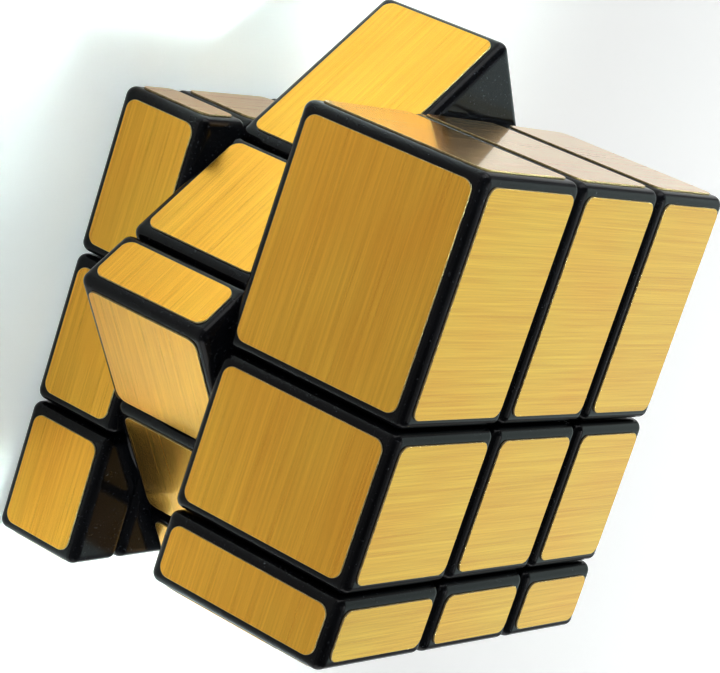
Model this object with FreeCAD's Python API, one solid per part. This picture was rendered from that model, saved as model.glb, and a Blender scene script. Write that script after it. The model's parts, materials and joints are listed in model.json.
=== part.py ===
import FreeCAD, Part

# Mirror block cube: a 3 x 3 x 3 twisting puzzle whose layers differ in thickness.
# Frame: +Z up along the turning axis, origin on that axis at the face the cube stands on.
# Every piece is built in its solved place around the core, then turned with its layer.

import os
from math import cos, pi, sin, sqrt

Vector = FreeCAD.Vector

# driving dimensions, in millimetres and degrees
CUT = 9.5  # half of the middle layers: all three are 19 mm thick
OUTER_FACES = {  # distance from the core's centre to each outer face, stickers included
    ("X", -1): 30.5,
    ("X", 1): 26.5,
    ("Y", -1): 18.5,
    ("Y", 1): 38.5,
    ("Z", -1): 22.5,
    ("Z", 1): 34.5,
}
LAYER_ANGLES = {-1: -88.5, 0: -48.0, 1: 0.0}  # turn of the base, middle and top layers
CORE_HEIGHT = OUTER_FACES["Z", -1]
LAYER_GAP = 0.3
HALF_GAP = LAYER_GAP / 2
BLOCK_ROUND = 1.2  # radius on every edge of a block
WALL = 1.6  # moulded wall of the hollow shells

# mechanism: surfaces of revolution about each turning axis
FOOT_INNER_RADIUS = 12.0
LEDGE_RADIUS = 17.3  # the sphere on which outer pieces hold the feet of inner ones
FOOT_HALF = 4.5  # half the thickness of the middle layers inside the ledge sphere
CONE_SHIFT = 8.4  # the 45 degree cone outside the ledge: height = radius - CONE_SHIFT
MECHANISM_RADIUS = 20.4  # just past where the cone meets the flat cut
FAR = 90.0  # past every block
PEG_RADIUS = {2: 2.6, 3: 1.9}  # by the number of outer faces: edge, corner
PEG_END = {2: 19.2, 3: 20.8}
PEG_ROOT = 15.5
PEG_PLAY = 0.05

# stickers
STICKER_THICKNESS = 0.2
STICKER_BORDER = 1.45  # from the nominal edge of the block face
STICKER_ROUND = 1.3
PARALLEL = 1e-6  # an edge this near to a direction runs along it

# core, screws, springs and washers
HUB_RADIUS = 5.6
ARM_RADIUS = 3.6
ARM_END = 8.0
STALK_START = 8.2
SCREW_RADIUS = 1.5
SCREW_TIP = 3.4
THREAD_PLAY = 0.02
BORE_PLAY = 0.08
POCKET_RADIUS = 3.3
POCKET_FLOOR = 10.2
SPRING_WIRE = 0.6
SPRING_WIRE_SIDES = 8
SPRING_RADIUS = 2.3
SPRING_TURNS = 4.5
WASHER_FLOOR = 13.4
WASHER_RADIUS = 2.9
WASHER_THICKNESS = 0.5
HEAD_FLOOR = WASHER_FLOOR + WASHER_THICKNESS
HEAD_RADIUS = 2.7
HEAD_HEIGHT = 1.7
HEAD_ROUND = 0.5
DRIVE_SIDE = 0.8  # width of the cross recess's arms
DRIVE_REACH = 1.7  # half length of those arms
DRIVE_DEPTH = 1.0
CAP_HALF = 6.25
CAP_PLAY = 0.05
CAP_THICKNESS = 1.5
CAP_ROUND = 1.0
CENTRE_HOLLOW_HALF = 5.5
CENTRE_HOLLOW_START = 18.6

AXES = "XYZ"
DIRECTIONS = {"X": Vector(1, 0, 0), "Y": Vector(0, 1, 0), "Z": Vector(0, 0, 1)}
SIDE_NAMES = {
    ("X", -1): "left",
    ("X", 1): "right",
    ("Y", -1): "front",
    ("Y", 1): "back",
    ("Z", -1): "base",
    ("Z", 1): "top",
}
NAME_ORDER = "ZYX"  # names read top_front_left


def revolve(outline):
    """Turn a closed outline of (radius, height) edges about Z."""
    face = Part.Face(Part.Wire(outline))
    return face.revolve(Vector(0, 0, 0), Vector(0, 0, 1), 360)


def point(radius, height):
    return Vector(radius, 0, height)


def polyline(points):
    return [Part.LineSegment(a, b).toShape() for a, b in zip(points, points[1:])]


def interface(offset):
    """Points of the sliding surface between a middle and an outer layer, moved by offset."""
    plane = FOOT_HALF + offset
    sphere = LEDGE_RADIUS - offset
    cone = offset * sqrt(2) - CONE_SHIFT
    ledge_in = point(sqrt(sphere**2 - plane**2), plane)
    reach = (sqrt(2 * sphere**2 - cone**2) - cone) / 2
    ledge_out = point(reach, reach + cone)
    cut = CUT + offset
    cone_end = point(cut - cone, cut)
    middle = ledge_in + ledge_out
    middle = middle * (sphere / middle.Length)
    return plane, ledge_in, middle, ledge_out, cone_end, cut


def outer_layer():
    """Everything that may turn with the layer above the upper cut."""
    plane, ledge_in, middle, ledge_out, cone_end, cut = interface(HALF_GAP)
    edges = polyline([point(0, FAR), point(0, plane), ledge_in])
    edges.append(Part.Arc(ledge_in, middle, ledge_out).toShape())
    edges += polyline([ledge_out, cone_end, point(FAR, cut), point(FAR, FAR), point(0, FAR)])
    return revolve(edges)


def middle_layer():
    """Everything that may turn with the layer between the two cuts."""
    plane, ledge_in, middle, ledge_out, cone_end, cut = interface(-HALF_GAP)

    def below(p):
        return point(p.x, -p.z)

    edges = polyline([point(0, -plane), point(0, plane), ledge_in])
    edges.append(Part.Arc(ledge_in, middle, ledge_out).toShape())
    edges += polyline([ledge_out, cone_end, point(FAR, cut), point(FAR, -cut)])
    edges += polyline([point(FAR, -cut), below(cone_end), below(ledge_out)])
    edges.append(Part.Arc(below(ledge_out), below(middle), below(ledge_in)).toShape())
    edges += polyline([below(ledge_in), point(0, -plane)])
    return revolve(edges)


def toward(shape, direction):
    """A copy of a shape built along +Z, pointed from the core along a direction."""
    turn = FreeCAD.Placement(Vector(0, 0, 0), FreeCAD.Rotation(Vector(0, 0, 1), direction))
    turned = shape.copy()
    turned.Placement = turn.multiply(shape.Placement)
    return turned


def along(shape, axis, side=1):
    return toward(shape, DIRECTIONS[axis] * side)


OUTER_LAYER = outer_layer()
MIDDLE_LAYER = middle_layer()


def layer(axis, side):
    return along(OUTER_LAYER, axis, side) if side else along(MIDDLE_LAYER, axis)


def box(low, high):
    size = [b - a for a, b in zip(low, high)]
    return Part.makeBox(*size, Vector(*low))


def span(axis, side, near, far_inset):
    """Low and high limit along an axis: near is the limit at the core's side."""
    if side == 0:
        return -near, near
    far = OUTER_FACES[axis, side] - far_inset
    return (near, far) if side > 0 else (-far, -near)


def block_box(place, inset=0.0):
    """The block's outer box, drawn in by inset on all six sides."""
    spans = []
    for axis, side in zip(AXES, place):
        near = CUT + HALF_GAP + inset if side else CUT - HALF_GAP - inset
        spans.append(span(axis, side, near, STICKER_THICKNESS + inset))
    low, high = zip(*spans)
    return box(low, high)


def mechanism(place):
    """The block's inner part, shaped by the layers it belongs to."""
    spans = []
    for axis, side in zip(AXES, place):
        near = 0 if side else CUT
        spans.append(span(axis, side, near, STICKER_THICKNESS + BLOCK_ROUND))
    low, high = zip(*spans)
    return box(low, high).common(Part.makeSphere(MECHANISM_RADIUS))


def piece(place):
    """One whole block with its mechanism, still in one solid."""
    block = block_box(place)
    block = block.makeFillet(BLOCK_ROUND, block.Edges)
    inner = mechanism(place)
    for axis, side in zip(AXES, place):
        inner = inner.common(layer(axis, side))
        if side == 0:
            block = block.common(layer(axis, 0))
    return block.fuse(inner).removeSplitter()


def rod(radius, start, end):
    return Part.makeCylinder(radius, end - start, Vector(0, 0, start))


def shell_and_foot(place):
    """A hollow outer shell, and the foot whose peg closes it."""
    kind = sum(abs(side) for side in place)
    whole = piece(place)
    ledge = Part.makeSphere(LEDGE_RADIUS)
    shell = whole.cut(ledge).cut(block_box(place, WALL))
    hole = rod(PEG_RADIUS[kind] + PEG_PLAY, PEG_ROOT, PEG_END[kind])
    shell = shell.cut(toward(hole, Vector(*place)))
    foot = whole.common(ledge).cut(Part.makeSphere(FOOT_INNER_RADIUS + HALF_GAP))
    peg = rod(PEG_RADIUS[kind], PEG_ROOT, PEG_END[kind])
    foot = foot.fuse(toward(peg, Vector(*place))).removeSplitter()
    return shell, foot


def square(half, start, end, corner_radius=0.0):
    """A square bar along +Z, with its four long edges rounded."""
    bar = box((-half, -half, start), (half, half, end))
    if corner_radius:
        long_edges = [e for e in bar.Edges if e.Vertexes[0].Point.z != e.Vertexes[1].Point.z]
        bar = bar.makeFillet(corner_radius, long_edges)
    return bar


def body_and_cap(place):
    """A centre block on its stalk, and the cap that closes it over the screw."""
    axis = AXES[[abs(side) for side in place].index(1)]
    side = sum(place)
    face = OUTER_FACES[axis, side] - STICKER_THICKNESS
    cap_floor = face - CAP_THICKNESS
    tools = [
        rod(SCREW_RADIUS + BORE_PLAY, 0, POCKET_FLOOR),
        rod(POCKET_RADIUS, POCKET_FLOOR, cap_floor),
        square(CAP_HALF + CAP_PLAY, cap_floor, FAR, CAP_ROUND + CAP_PLAY),
        square(CUT, 0, STALK_START),
    ]
    if cap_floor > CENTRE_HOLLOW_START:
        tools.append(square(CENTRE_HOLLOW_HALF, CENTRE_HOLLOW_START, cap_floor, CAP_ROUND))
    body = piece(place)
    for tool in tools:
        body = body.cut(along(tool, axis, side))
    cap = square(CAP_HALF, cap_floor, face, CAP_ROUND)
    return body, along(cap, axis, side)


def core_spider():
    core = Part.makeSphere(HUB_RADIUS)
    hole = rod(SCREW_RADIUS + THREAD_PLAY, SCREW_TIP, FAR)
    for axis, side in OUTER_FACES:
        core = core.fuse(along(rod(ARM_RADIUS, 0, ARM_END), axis, side))
    for axis, side in OUTER_FACES:
        core = core.cut(along(hole, axis, side))
    return core.removeSplitter()


def screw():
    """A round-headed screw with a cross recess, its tip in the core's arm."""
    shank = rod(SCREW_RADIUS, SCREW_TIP, HEAD_FLOOR)
    head = rod(HEAD_RADIUS, HEAD_FLOOR, HEAD_FLOOR + HEAD_HEIGHT)
    rim = [e for e in head.Edges if e.BoundBox.ZMin > HEAD_FLOOR + HEAD_HEIGHT / 2]
    head = head.makeFillet(HEAD_ROUND, rim)
    top = HEAD_FLOOR + HEAD_HEIGHT
    for reach_x, reach_y in ((DRIVE_REACH, DRIVE_SIDE / 2), (DRIVE_SIDE / 2, DRIVE_REACH)):
        slot = box((-reach_x, -reach_y, top - DRIVE_DEPTH), (reach_x, reach_y, top + 1))
        head = head.cut(slot)
    return shank.fuse(head)


def spring():
    """A compression spring from the pocket floor to the washer, its wire many-sided."""
    height = WASHER_FLOOR - POCKET_FLOOR - SPRING_WIRE
    helix = Part.makeHelix(height / SPRING_TURNS, height, SPRING_RADIUS)
    section = []
    for step in range(SPRING_WIRE_SIDES + 1):
        angle = step * 2 * pi / SPRING_WIRE_SIDES
        offset = Vector(cos(angle), 0, sin(angle)) * (SPRING_WIRE / 2)
        section.append(Vector(SPRING_RADIUS, 0, 0) + offset)
    coil = Part.Wire(helix).makePipeShell([Part.makePolygon(section)], True, True)
    coil.translate(Vector(0, 0, POCKET_FLOOR + SPRING_WIRE / 2))
    return coil


def washer():
    disc = rod(WASHER_RADIUS, WASHER_FLOOR, HEAD_FLOOR)
    return disc.cut(rod(SCREW_RADIUS + BORE_PLAY, WASHER_FLOOR, HEAD_FLOOR))


def on_every_arm(shape):
    return Part.makeCompound([along(shape, axis, side) for axis, side in OUTER_FACES])


def sticker(place, axis, side):
    """The rounded rectangle on one outer face of a block."""
    low, high = [], []
    for other, other_side in zip(AXES, place):
        if other == axis:
            face = OUTER_FACES[axis, side]
            a, b = sorted((side * face, side * (face - STICKER_THICKNESS)))
        else:
            near = CUT + STICKER_BORDER if other_side else CUT - STICKER_BORDER
            a, b = span(other, other_side, near, STICKER_BORDER)
        low.append(a)
        high.append(b)
    plate = box(low, high)
    normal = DIRECTIONS[axis]
    corners = [e for e in plate.Edges if e.tangentAt(0).cross(normal).Length < PARALLEL]
    return plate.makeFillet(STICKER_ROUND, corners)


def in_place(shape, layer_side):
    """Turn a layer's shape to its stored angle and lift it to the core's height."""
    placed = shape.copy()
    placed.rotate(Vector(0, 0, 0), Vector(0, 0, 1), LAYER_ANGLES[layer_side])
    placed.translate(Vector(0, 0, CORE_HEIGHT))
    return placed


def place_name(place):
    sides = dict(zip(AXES, place))
    return "_".join(SIDE_NAMES[axis, sides[axis]] for axis in NAME_ORDER if sides[axis])


def export(name, shape):
    for solid in shape.Solids:
        if not solid.isValid() or solid.Volume <= 0:
            raise ValueError(f"{name} isn't a sound solid")
    shape.exportStep(f"parts/{name}.step")
    print(f"{name}: {len(shape.Solids)} solid(s), {shape.Volume:.1f} mm3")


def main():
    os.makedirs("parts", exist_ok=True)
    export("core_spider", in_place(core_spider(), 0))
    export("centre_screws", in_place(on_every_arm(screw()), 0))
    export("centre_springs", in_place(on_every_arm(spring()), 0))
    export("spring_washers", in_place(on_every_arm(washer()), 0))

    places = [(x, y, z) for z in (-1, 0, 1) for y in (-1, 0, 1) for x in (-1, 0, 1)]
    stickers = {"top_layer": [], "middle_slice": [], "base_layer_side": [], "base_face": []}
    group_names = {1: "top_layer", 0: "middle_slice", -1: "base_layer_side"}
    for place in places:
        kind = sum(abs(side) for side in place)
        if kind == 0:
            continue
        name = place_name(place)
        layer_side = place[2]
        if kind == 1:
            body, cap = body_and_cap(place)
            export(f"{name}_centre_body", in_place(body, layer_side))
            export(f"{name}_centre_cap", in_place(cap, layer_side))
        else:
            word = "edge" if kind == 2 else "corner"
            shell, foot = shell_and_foot(place)
            export(f"{name}_{word}_shell", in_place(shell, layer_side))
            export(f"{name}_{word}_foot", in_place(foot, layer_side))
        for axis, side in zip(AXES, place):
            if side == 0:
                continue
            group = "base_face" if (axis, side) == ("Z", -1) else group_names[layer_side]
            stickers[group].append(in_place(sticker(place, axis, side), layer_side))
    for group, shapes in stickers.items():
        export(f"{group}_stickers", Part.makeCompound(shapes))


main()
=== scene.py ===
import json
from math import cos, pi, radians, sin

import bmesh
import bpy
from mathutils import Matrix, Quaternion, Vector


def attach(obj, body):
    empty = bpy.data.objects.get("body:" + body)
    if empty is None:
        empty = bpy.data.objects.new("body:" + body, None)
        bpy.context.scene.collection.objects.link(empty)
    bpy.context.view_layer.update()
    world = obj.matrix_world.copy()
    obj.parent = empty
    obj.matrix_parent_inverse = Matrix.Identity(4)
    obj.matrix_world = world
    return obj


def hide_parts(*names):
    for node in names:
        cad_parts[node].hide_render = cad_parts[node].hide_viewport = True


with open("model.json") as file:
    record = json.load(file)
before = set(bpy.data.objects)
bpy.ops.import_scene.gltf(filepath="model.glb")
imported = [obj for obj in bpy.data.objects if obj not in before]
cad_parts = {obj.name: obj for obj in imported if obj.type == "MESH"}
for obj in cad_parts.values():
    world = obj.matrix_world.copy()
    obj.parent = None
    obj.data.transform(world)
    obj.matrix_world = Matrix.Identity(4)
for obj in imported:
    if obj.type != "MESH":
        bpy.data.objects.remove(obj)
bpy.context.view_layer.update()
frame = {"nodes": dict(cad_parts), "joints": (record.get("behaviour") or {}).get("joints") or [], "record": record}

# lengths are in metres and angles in degrees, unless a comment says otherwise
CORE = Vector(frame["joints"][0]["pos_m"])
LAYER_ANGLES = {"top_layer": 0.0, "middle_slice": -48.0, "base_layer": -88.5}
STICKER_ROUND = 0.0013
STICKER_BEVEL = 0.00005
STICKER_FLAT = 0.00009  # from the outline to where the flat face starts
CORNER_STEPS = 8
BEVEL_STEPS = 3
SAME_POINT = 1e-7  # corner points nearer than this are one
UV_SIZE = 0.01  # one unit of the brush map is a centimetre
UV_STEP_ACROSS = 7.0  # each sticker takes its own stretch of the brush map
UV_STEP_ALONG = 3.0
FILM, CUT_EDGE = 0, 1  # a sticker's material slots
BRUSH_LINES = {0: 1, 1: 0, 2: 0}  # a face across axis KEY is brushed along axis VALUE
STICKER_NODES = {
    "top_layer_stickers": "top_layer",
    "middle_slice_stickers": "middle_slice",
    "base_layer_side_stickers": "base_layer",
    "base_face_stickers": "base_layer",
}

CAMERA_AZIMUTH = 256.54
CAMERA_ELEVATION = 30.37
CAMERA_ROLL = 115.53
CAMERA_DISTANCE = 0.32407
CAMERA_LENS = 133.88  # millimetres, on a sensor of SENSOR_WIDTH
SENSOR_WIDTH = 36.0
NEAREST = 0.01
AIM = CORE + Vector((0.0049, 0.0087, 0.0047))

HORIZON = (0.33, 0.335, 0.34)
OVERHEAD = (0.07, 0.07, 0.07)
HORIZON_TOP, OVERHEAD_FOOT = 0.35, 0.7  # the sky fades between these heights on a unit sphere
FLOOR_SIZE = 6.0
FLOOR_DROP = 0.0001
TABLE_GLOW = 0.275  # the floor is a light table, so that shadows on it stay pale
WHITE = (1.0, 1.0, 1.0)
RIGHT_TINT = (0.8, 1.0, 0.95)
POOL_TINT = (0.8, 1.0, 0.98)
POOL_X = -0.01
POOL_HEIGHT = 0.36
DISPLAY_GAMMA = 0.85  # deepens the dark tones a little

# brushed film: lines per centimetre across the brushing, and features along it
BROAD_STREAKS = (14.0, 0.12, 1.0)
FINE_STREAKS = (40.0, 0.35, 1.0)
HAIRLINES = (95.0, 0.8, 1.0)
PATCHES = (0.9, 0.45, 1.0)
STREAK_REACH = (0.38, 0.62)  # the usual reach of the streaks' sum
DARK_YELLOW_GOLD, DARK_ORANGE_GOLD = (0.77, 0.43, 0.060), (0.78, 0.38, 0.050)
LIGHT_YELLOW_GOLD, LIGHT_ORANGE_GOLD = (0.92, 0.56, 0.084), (0.92, 0.51, 0.072)
BRUSH_DEPTH = 0.00001

# moulded plastic: features per metre
FLOW_MARKS = (160, 160, 160)
PLASTIC_GRAIN = (5200, 5200, 5200)
SCUFFS = (900, 2600, 1500)
DUST_SPECKS = (3000, 3000, 3000)
DUST = (0.1, 0.1, 0.11)
GRAIN_DEPTH = 0.0000015

COLOUR_A, COLOUR_B, COLOUR_RESULT = 6, 7, 2  # the colour sockets of a Mix node


# ---- camera, floor and light -------------------------------------------------------------

def add_camera():
    """A long lens from above the left side, rolled so that the upright axis lies over."""
    azimuth = radians(CAMERA_AZIMUTH)
    elevation = radians(CAMERA_ELEVATION)
    back = Vector((sin(azimuth) * cos(elevation), -cos(azimuth) * cos(elevation), sin(elevation)))
    data = bpy.data.cameras.new("camera")
    data.lens = CAMERA_LENS
    data.sensor_width = SENSOR_WIDTH
    data.clip_start = NEAREST
    camera = bpy.data.objects.new("camera", data)
    level = (-back).to_track_quat("-Z", "Y")
    camera.rotation_mode = "QUATERNION"
    camera.rotation_quaternion = level @ Quaternion((0, 0, 1), radians(CAMERA_ROLL))
    camera.location = AIM + back * CAMERA_DISTANCE
    bpy.context.scene.collection.objects.link(camera)
    bpy.context.scene.camera = camera


def add_floor():
    mesh = bpy.data.meshes.new("floor")
    half = FLOOR_SIZE / 2
    corners = [(-half, -half), (half, -half), (half, half), (-half, half)]
    mesh.from_pydata([(x, y, -FLOOR_DROP) for x, y in corners], [], [(0, 1, 2, 3)])
    floor = bpy.data.objects.new("floor", mesh)
    bpy.context.scene.collection.objects.link(floor)
    floor.data.materials.append(floor_material())


def add_softbox(name, place, target, size, power, colour, spread=180):
    """A rectangular soft light at place, aimed at target. A grid narrows its spread."""
    data = bpy.data.lights.new(name, "AREA")
    data.shape = "RECTANGLE"
    data.size, data.size_y = size
    data.energy = power
    data.color = colour
    data.spread = radians(spread)
    light = bpy.data.objects.new(name, data)
    light.visible_camera = False
    light.location = place
    direction = Vector(target) - Vector(place)
    light.rotation_mode = "QUATERNION"
    light.rotation_quaternion = direction.to_track_quat("-Z", "Y")
    bpy.context.scene.collection.objects.link(light)
    return light


def add_pool(name, y, power):
    """A narrow light from above that only brightens the floor beside the cube."""
    light = add_softbox(
        name, place=(POOL_X, y, POOL_HEIGHT), target=(POOL_X, y, 0.0),
        size=(0.1, 0.1), power=power, colour=POOL_TINT, spread=18)
    light.visible_glossy = False
    light.data.use_shadow = False


def add_sky():
    """A soft room that is bright near the horizon and dim overhead."""
    world = bpy.data.worlds.new("studio")
    world.use_nodes = True
    tree = world.node_tree
    direction = tree.nodes.new("ShaderNodeTexCoord").outputs["Generated"]
    parts = tree.nodes.new("ShaderNodeSeparateXYZ")
    tree.links.new(direction, parts.inputs["Vector"])
    height = tree.nodes.new("ShaderNodeMapRange")
    height.interpolation_type = "SMOOTHSTEP"
    height.inputs["From Min"].default_value = HORIZON_TOP
    height.inputs["From Max"].default_value = OVERHEAD_FOOT
    tree.links.new(parts.outputs["Z"], height.inputs["Value"])
    colour = blend_colours(tree, height.outputs["Result"], HORIZON, OVERHEAD)
    tree.links.new(colour, tree.nodes["Background"].inputs["Color"])
    bpy.context.scene.world = world


def add_lights():
    """Soft panels round the cube, and a pool of light on the floor at two of its sides."""
    add_sky()
    add_softbox(
        "key_light", place=(0.3, 0.0, 0.55), target=(0.1, 0.0, 0.0),
        size=(0.4, 0.4), power=0.1, colour=WHITE, spread=90)
    add_softbox(
        "far_light", place=(0.5, 0.0, 0.6), target=(0.4, 0.0, 0.0),
        size=(0.4, 0.4), power=0.52, colour=WHITE, spread=60)
    add_softbox(
        "top_light", place=(0.0, 0.0, 0.9), target=(0.0, 0.0, 0.0),
        size=(0.5, 0.5), power=0.35, colour=WHITE)
    add_pool("back_pool_light", y=0.084, power=0.072)
    add_pool("front_pool_light", y=-0.072, power=0.058)
    add_softbox(
        "right_side_light", place=(0.9, 0.02, 0.4), target=CORE,
        size=(0.9, 0.7), power=1.62, colour=RIGHT_TINT)
    add_softbox(
        "back_side_light", place=(0.05, 0.8, 0.2), target=CORE,
        size=(1.0, 0.5), power=3.0, colour=WHITE)
    add_softbox(
        "front_side_light", place=(0.05, -0.8, 0.2), target=CORE,
        size=(1.0, 0.5), power=2.0, colour=WHITE)


# ---- materials ---------------------------------------------------------------------------

def material(name):
    made = bpy.data.materials.new(name)
    made.use_nodes = True
    return made, made.node_tree, made.node_tree.nodes["Principled BSDF"]


def stretched_noise(tree, coordinates, stretch, detail=2.0, roughness=0.5, shift=(0, 0, 0)):
    """Noise whose features are about 1 / stretch units long on each axis."""
    mapping = tree.nodes.new("ShaderNodeMapping")
    mapping.inputs["Scale"].default_value = stretch
    mapping.inputs["Location"].default_value = shift
    noise = tree.nodes.new("ShaderNodeTexNoise")
    noise.inputs["Scale"].default_value = 1.0
    noise.inputs["Detail"].default_value = detail
    noise.inputs["Roughness"].default_value = roughness
    tree.links.new(coordinates, mapping.inputs["Vector"])
    tree.links.new(mapping.outputs["Vector"], noise.inputs["Vector"])
    return noise.outputs["Fac"]


def remap(tree, value, low, high, from_low=0.3, from_high=0.7):
    """A value in from_low..from_high, by default the usual reach of noise, taken to low..high."""
    node = tree.nodes.new("ShaderNodeMapRange")
    node.inputs["From Min"].default_value = from_low
    node.inputs["From Max"].default_value = from_high
    node.inputs["To Min"].default_value = low
    node.inputs["To Max"].default_value = high
    tree.links.new(value, node.inputs["Value"])
    return node.outputs["Result"]


def blend_colours(tree, factor, first, second):
    """A colour from first to second; each is three numbers or another node's output."""
    node = tree.nodes.new("ShaderNodeMix")
    node.data_type = "RGBA"
    for socket, colour in ((COLOUR_A, first), (COLOUR_B, second)):
        if isinstance(colour, tuple):
            node.inputs[socket].default_value = (*colour, 1)
        else:
            tree.links.new(colour, node.inputs[socket])
    tree.links.new(factor, node.inputs["Factor"])
    return node.outputs[COLOUR_RESULT]


def combine(tree, operation, first, second):
    """Two values, each a number or another node's output, put through a Math node."""
    node = tree.nodes.new("ShaderNodeMath")
    node.operation = operation
    for socket, value in zip(node.inputs, (first, second)):
        if isinstance(value, (int, float)):
            socket.default_value = value
        else:
            tree.links.new(value, socket)
    return node.outputs["Value"]


def weighted(tree, first, second, share):
    """A share of the second value and the rest of the first."""
    part = combine(tree, "MULTIPLY", first, round(1 - share, 3))
    return combine(tree, "ADD", part, combine(tree, "MULTIPLY", second, share))


def add_bump(tree, shader, height, distance):
    bump = tree.nodes.new("ShaderNodeBump")
    bump.inputs["Distance"].default_value = distance
    tree.links.new(height, bump.inputs["Height"])
    tree.links.new(bump.outputs["Normal"], shader.inputs["Normal"])


def object_coordinates(tree):
    return tree.nodes.new("ShaderNodeTexCoord").outputs["Object"]


def gold_material():
    """Brushed gold film: streaks along the brush map's second axis, under a clear coat."""
    made, tree, shader = material("brushed_gold_film")
    brush = tree.nodes.new("ShaderNodeUVMap")
    brush.uv_map = "brush"
    flow = brush.outputs["UV"]
    broad = stretched_noise(tree, flow, BROAD_STREAKS, 2.0, 0.6)
    streaks = stretched_noise(tree, flow, FINE_STREAKS, 2.0, 0.65, (3.1, 7.7, 0))
    hairlines = stretched_noise(tree, flow, HAIRLINES, 1.0, 0.6, (11.3, 2.9, 0))
    lines = weighted(tree, broad, streaks, 0.55)
    mixed = weighted(tree, lines, hairlines, 0.3)
    patches = remap(tree, stretched_noise(tree, flow, PATCHES, 2.0, 0.5, (1.7, 4.3, 0)), 0.0, 1.0)
    tone = remap(tree, mixed, 0.0, 1.0, *STREAK_REACH)
    dark = blend_colours(tree, patches, DARK_YELLOW_GOLD, DARK_ORANGE_GOLD)
    light = blend_colours(tree, patches, LIGHT_YELLOW_GOLD, LIGHT_ORANGE_GOLD)
    tree.links.new(blend_colours(tree, tone, dark, light), shader.inputs["Base Color"])
    tree.links.new(remap(tree, mixed, 0.28, 0.22, *STREAK_REACH), shader.inputs["Roughness"])
    shader.inputs["Metallic"].default_value = 1.0
    shader.inputs["Anisotropic"].default_value = 0.65
    shader.inputs["Coat Weight"].default_value = 1.0
    shader.inputs["Coat Roughness"].default_value = 0.06
    shader.inputs["Coat IOR"].default_value = 1.22
    tangent = tree.nodes.new("ShaderNodeTangent")
    tangent.direction_type = "UV_MAP"
    tangent.uv_map = "brush"
    tree.links.new(tangent.outputs["Tangent"], shader.inputs["Tangent"])
    add_bump(tree, shader, lines, BRUSH_DEPTH)
    return made


def edge_highlight_material():
    """The film's cut edge and rounded rim in a pale colour: partly the edge's own colour, partly a painted
    highlight for the thin bright line along the stickers' edges.
    """
    made, tree, shader = material("film_edge_painted_highlight")
    place = object_coordinates(tree)
    grain = stretched_noise(tree, place, (2500, 2500, 2500), 2.0, 0.5)
    light = remap(tree, grain, 0.0, 1.0)
    # painted highlight: every sticker's edge and rim is pale, standing in for the bright line that light draws
    # along them
    colour = blend_colours(tree, light, (0.42, 0.3, 0.12), (0.7, 0.55, 0.3))
    tree.links.new(colour, shader.inputs["Base Color"])
    tree.links.new(remap(tree, grain, 0.3, 0.5), shader.inputs["Roughness"])
    add_bump(tree, shader, grain, 0.000005)
    return made


def plastic_material(name, dark, light, roughness, gloss_level):
    """Moulded plastic: a fine grain, faint flow marks, uneven gloss and specks of dust."""
    made, tree, shader = material(name)
    place = object_coordinates(tree)
    flow = stretched_noise(tree, place, FLOW_MARKS, 3.0, 0.55)
    grain = stretched_noise(tree, place, PLASTIC_GRAIN, 2.0, 0.5)
    scuffs = stretched_noise(tree, place, SCUFFS, 4.0, 0.7, (5.0, 1.0, 2.0))
    colour = blend_colours(tree, remap(tree, flow, 0.0, 1.0), dark, light)
    specks = stretched_noise(tree, place, DUST_SPECKS, 1.0, 0.5, (9.0, 4.0, 1.0))
    dusty = remap(tree, specks, 0.0, 0.4, 0.66, 0.8)
    colour = blend_colours(tree, dusty, colour, DUST)
    tree.links.new(colour, shader.inputs["Base Color"])
    gloss = weighted(tree, flow, scuffs, 0.5)
    uneven = remap(tree, gloss, roughness - 0.05, roughness + 0.08)
    tree.links.new(uneven, shader.inputs["Roughness"])
    shader.inputs["Specular IOR Level"].default_value = gloss_level
    add_bump(tree, shader, grain, GRAIN_DEPTH)
    return made


def steel_material(name, dark, light, roughness):
    """Plated steel with fine turning marks."""
    made, tree, shader = material(name)
    place = object_coordinates(tree)
    marks = stretched_noise(tree, place, (1500, 1500, 9000), 3.0, 0.6)
    colour = blend_colours(tree, remap(tree, marks, 0.0, 1.0), dark, light)
    tree.links.new(colour, shader.inputs["Base Color"])
    tree.links.new(remap(tree, marks, roughness, roughness + 0.15), shader.inputs["Roughness"])
    shader.inputs["Metallic"].default_value = 1.0
    add_bump(tree, shader, marks, 0.000002)
    return made


def floor_material():
    """The pale, faintly glowing top of a light table."""
    made, tree, shader = material("pale_floor")
    place = object_coordinates(tree)
    soft = stretched_noise(tree, place, (6, 6, 6), 2.0, 0.5)
    light = remap(tree, soft, 0.0, 1.0)
    colour = blend_colours(tree, light, (0.86, 0.86, 0.86), (0.88, 0.88, 0.88))
    tree.links.new(colour, shader.inputs["Base Color"])
    shader.inputs["Roughness"].default_value = 0.6
    shader.inputs["Emission Color"].default_value = (1, 1, 1, 1)
    shader.inputs["Emission Strength"].default_value = TABLE_GLOW
    return made


# ---- stickers ----------------------------------------------------------------------------

def solids_of(node):
    """The corner points of each separate solid of a CAD node."""
    mesh = bmesh.new()
    mesh.from_mesh(frame["nodes"][node].data)
    bmesh.ops.remove_doubles(mesh, verts=mesh.verts, dist=SAME_POINT)
    left = set(mesh.verts)
    solids = []
    while left:
        found, to_visit = set(), [next(iter(left))]
        while to_visit:
            vertex = to_visit.pop()
            if vertex in found:
                continue
            found.add(vertex)
            to_visit += [e.other_vert(vertex) for e in vertex.link_edges]
        left -= found
        solids.append([v.co.copy() for v in found])
    mesh.free()
    return solids


def box_of(points):
    """The lowest and highest corners of a set of points."""
    low = Vector([min(p[i] for p in points) for i in range(3)])
    high = Vector([max(p[i] for p in points) for i in range(3)])
    return low, high


def rounded_outline(half_u, half_v, radius):
    """Points round a rectangle with round corners."""
    points = []
    for corner, (su, sv) in enumerate(((1, 1), (-1, 1), (-1, -1), (1, -1))):
        centre_u, centre_v = su * (half_u - radius), sv * (half_v - radius)
        for step in range(CORNER_STEPS + 1):
            angle = (corner + step / CORNER_STEPS) * pi / 2
            points.append((centre_u + radius * cos(angle), centre_v + radius * sin(angle)))
    return points


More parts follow.
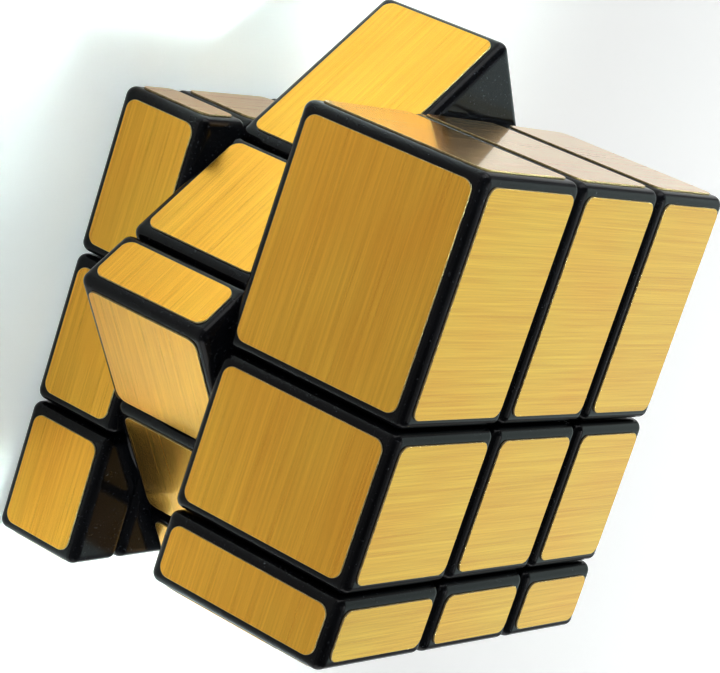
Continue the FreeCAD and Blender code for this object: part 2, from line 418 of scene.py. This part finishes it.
def sticker_loops(half_u, half_v, thickness):
    """Loops of a thin plate from its back to its front, with a fine rounded rim."""
    rim = [(0.0, 0.0), (thickness - STICKER_BEVEL, 0.0)]
    for step in range(1, BEVEL_STEPS + 1):
        angle = step / BEVEL_STEPS * pi / 2
        height = thickness - STICKER_BEVEL * (1 - sin(angle))
        rim.append((height, STICKER_BEVEL * (1 - cos(angle))))
    rim.append((thickness, STICKER_FLAT))
    loops = []
    for height, inset in rim:
        outline = rounded_outline(half_u - inset, half_v - inset, STICKER_ROUND - inset)
        loops.append([Vector((u, v, height)) for u, v in outline])
    return loops


def bridge(mesh, rings):
    """Faces between each ring of vertices and the next."""
    faces = []
    for lower, upper in zip(rings, rings[1:]):
        for i in range(len(lower)):
            j = (i + 1) % len(lower)
            faces.append(mesh.faces.new((lower[i], lower[j], upper[j], upper[i])))
    return faces


def add_sticker(mesh, brush, low, high, turn, number):
    """One sticker in the box low..high of the solved cube, turned with its layer."""
    size = high - low
    normal = min(range(3), key=lambda i: size[i])
    along = BRUSH_LINES[normal]
    across = 3 - normal - along
    middle = (low + high) / 2
    side = 1 if middle[normal] > CORE[normal] else -1
    loops = sticker_loops(size[across] / 2, size[along] / 2, size[normal])
    back = low[normal] if side > 0 else high[normal]
    rings = []
    local = {}
    for loop in loops:
        ring = []
        for point in loop:
            place = middle.copy()
            place[across] += point.x
            place[along] += point.y
            place[normal] = back + side * point.z
            vertex = mesh.verts.new(turn @ place)
            local[vertex] = (point.x, point.y)
            ring.append(vertex)
        rings.append(ring)
    edge_loops, film_loops = rings[:-1], rings[-2:]
    walls = [mesh.faces.new(rings[0])] + bridge(mesh, edge_loops)
    film = [mesh.faces.new(rings[-1])] + bridge(mesh, film_loops)
    for face in walls + film:
        face.smooth = True
        # the edge walls and rounded rim take the pale material, which is partly a painted highlight
        face.material_index = FILM if face in film else CUT_EDGE
        for corner in face.loops:
            u, v = local[corner.vert]
            corner[brush].uv = (
                u / UV_SIZE + UV_STEP_ACROSS * number, v / UV_SIZE + UV_STEP_ALONG * number)


def add_stickers(node, body, film, cut_edge):
    """All the stickers of one CAD node, as one piece with brushed faces."""
    turn = Matrix.Rotation(radians(LAYER_ANGLES[body]), 4, "Z")
    mesh = bmesh.new()
    brush = mesh.loops.layers.uv.new("brush")
    boxes = [box_of([turn.inverted() @ p for p in solid]) for solid in solids_of(node)]
    boxes.sort(key=lambda b: tuple(round(c, 5) for c in b[0]))
    for number, (low, high) in enumerate(boxes):
        add_sticker(mesh, brush, low, high, turn, number)
    bmesh.ops.recalc_face_normals(mesh, faces=mesh.faces)
    data = bpy.data.meshes.new(node + "_foil")
    mesh.to_mesh(data)
    mesh.free()
    piece = bpy.data.objects.new(node + "_foil", data)
    bpy.context.scene.collection.objects.link(piece)
    piece.data.materials.append(film)
    piece.data.materials.append(cut_edge)
    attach(piece, body)
    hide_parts(node)


def finish_cad_nodes():
    """A procedural material for every CAD node that stays."""
    black = plastic_material(
        "black_plastic", (0.003, 0.003, 0.004), (0.006, 0.006, 0.008), 0.13, 0.24)
    satin = plastic_material(
        "satin_black_plastic", (0.012, 0.012, 0.013), (0.02, 0.02, 0.022), 0.42, 0.4)
    grey = plastic_material("grey_plastic", (0.5, 0.5, 0.48), (0.58, 0.58, 0.56), 0.4, 0.5)
    zinc = steel_material("zinc_plated_steel", (0.5, 0.5, 0.5), (0.68, 0.68, 0.69), 0.3)
    wire = steel_material("spring_wire", (0.6, 0.6, 0.61), (0.75, 0.75, 0.76), 0.18)
    by_slot = {
        "block_plastic": black,
        "foot_plastic": satin,
        "cap_plastic": satin,
        "core_plastic": grey,
        "screw_steel": zinc,
        "spring_steel": wire,
    }
    slots = {part["node"]: part["material_slot"] for part in frame["record"]["subparts"]}
    for name, node in frame["nodes"].items():
        if slots[name] in by_slot:
            node.data.materials.clear()
            node.data.materials.append(by_slot[slots[name]])


add_camera()
add_floor()
add_lights()
finish_cad_nodes()
gold = gold_material()
pale_painted_edge = edge_highlight_material()
for sticker_node, sticker_body in STICKER_NODES.items():
    add_stickers(sticker_node, sticker_body, gold, pale_painted_edge)
bpy.context.scene.view_settings.view_transform = "Standard"
bpy.context.scene.view_settings.gamma = DISPLAY_GAMMA
